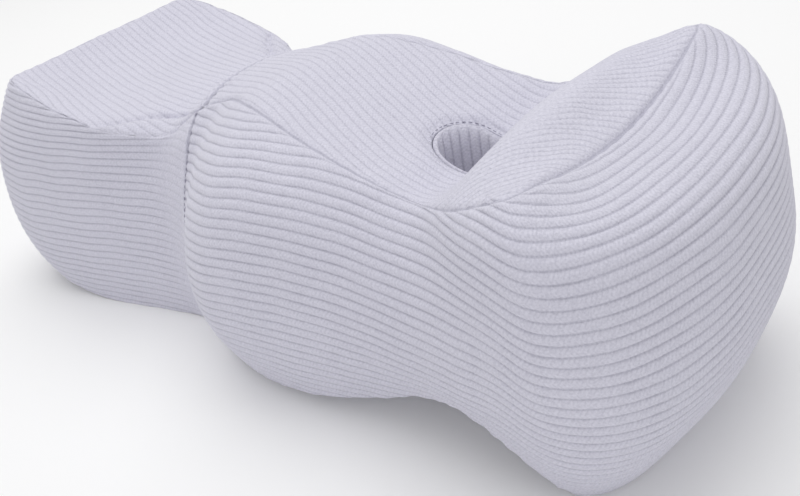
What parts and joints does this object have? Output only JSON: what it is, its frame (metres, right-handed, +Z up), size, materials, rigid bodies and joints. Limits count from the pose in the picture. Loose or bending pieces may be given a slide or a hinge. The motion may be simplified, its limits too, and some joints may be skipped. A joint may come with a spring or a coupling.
{
  "type": "knee pillow",
  "caption": "Filled knee pillow in ribbed knit with a stitched waist, a low valley with a lined slot through it, a rounded ridge and an arched underside.",
  "frame": {"origin": "on the surface the pillow rests on, under the middle of its length and width", "axes": "+X along the pillow from the small block to the rounded ridge, +Z up, the two long sides face -Y and +Y"},
  "size_m": [0.4556, 0.2026, 0.1469],
  "materials": {
    "ribbed_knit": "matt pale lilac-grey knit with raised lengthwise ribs",
    "slot_knit": "the same matt ribbed knit, in shade inside the slot"
  },
  "bodies": {
    "root": {"cushion": "ribbed_knit", "slot_lining": "slot_knit"}
  },
  "joints": []
}
